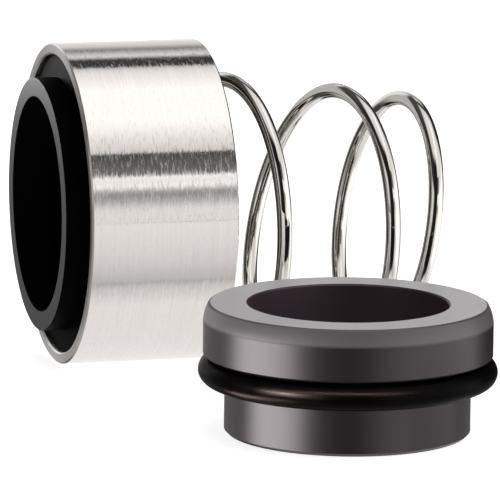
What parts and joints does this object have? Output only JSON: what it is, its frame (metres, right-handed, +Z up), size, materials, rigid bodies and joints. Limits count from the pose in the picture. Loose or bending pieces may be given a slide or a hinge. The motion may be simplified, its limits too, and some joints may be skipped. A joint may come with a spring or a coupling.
{
  "type": "component mechanical seal",
  "caption": "Mechanical shaft seal: a rotary head with a black face ring and a coil spring in a steel shell, beside its stepped ceramic seat with an O-ring.",
  "frame": {"origin": "centre of the stationary seat's base, on the surface that the seal lies on", "axes": "+Z up along the seat's bore, +X along the axis of the rotary head from its nose to its spring, +Y from the seat to the head"},
  "size_m": [0.0648, 0.1111, 0.052],
  "materials": {
    "turned_steel": "fine turned, satin",
    "spring_wire": "bright drawn wire",
    "carbon_graphite": "satin, lapped on the nose",
    "silicon_carbide": "ground satin, lapped on the face",
    "black_rubber": "moulded, slightly glossy"
  },
  "bodies": {
    "stationary": {"stationary_seat": "silicon_carbide", "seat_o_ring": "black_rubber"},
    "driving_spring": {"spring": "spring_wire"},
    "rotary_head": {"retainer_shell": "turned_steel", "rotary_face_ring": "carbon_graphite", "shaft_o_ring": "black_rubber", "thrust_ring": "turned_steel"}
  },
  "joints": [
    {"name": "shaft_rotation", "type": "hinge", "parent": "stationary", "child": "driving_spring", "pos_m": [-0.0317, 0.062, 0.026], "axis": [1, 0, 0], "continuous": true},
    {"name": "axial_float", "type": "slide", "parent": "driving_spring", "child": "rotary_head", "axis": [1, 0, 0], "range_m": [0, 0.016], "stiffness_N_per_m": 2000, "deforming": ["spring"]}
  ]
}
